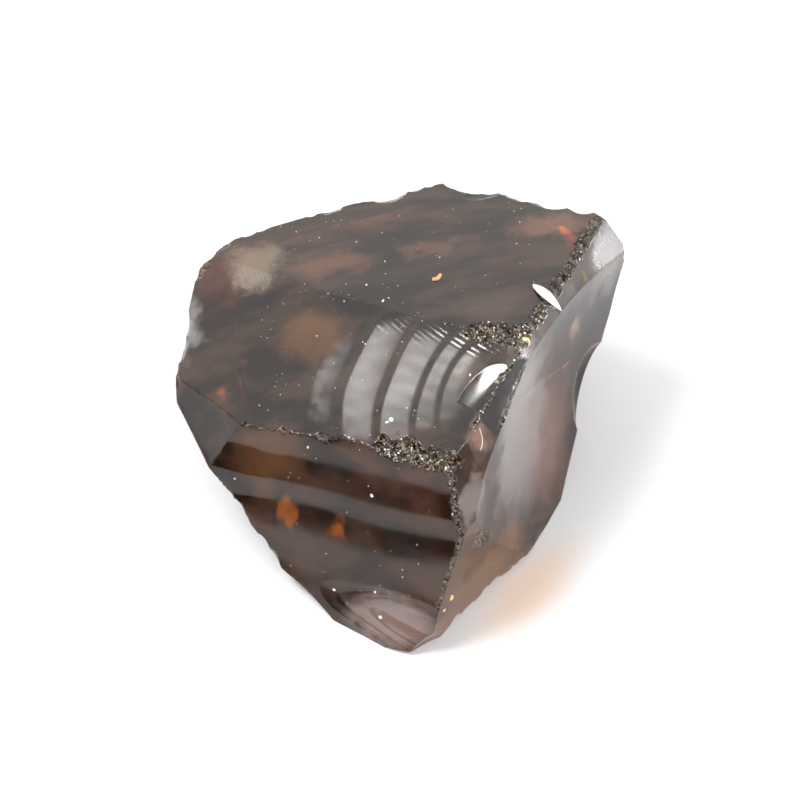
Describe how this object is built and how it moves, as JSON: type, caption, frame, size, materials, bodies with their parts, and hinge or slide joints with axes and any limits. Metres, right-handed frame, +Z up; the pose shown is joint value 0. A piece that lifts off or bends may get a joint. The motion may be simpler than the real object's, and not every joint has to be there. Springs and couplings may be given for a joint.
{
  "type": "smoky quartz crystal, rough broken lump",
  "caption": "Rough broken lump of clear smoky brown quartz with glassy conchoidal fracture faces and chipped edges, lying on a flat underside.",
  "frame": {"origin": "on the surface that the stone lies on, under the middle of its box", "axes": "+Z up, +Y from the pointed front to the broad back, +X to the right seen from the front"},
  "size_m": [0.0452, 0.0482, 0.0245],
  "materials": {
    "smoky_quartz": "polished"
  },
  "bodies": {
    "root": {"smoky_quartz": "smoky_quartz"}
  },
  "joints": []
}
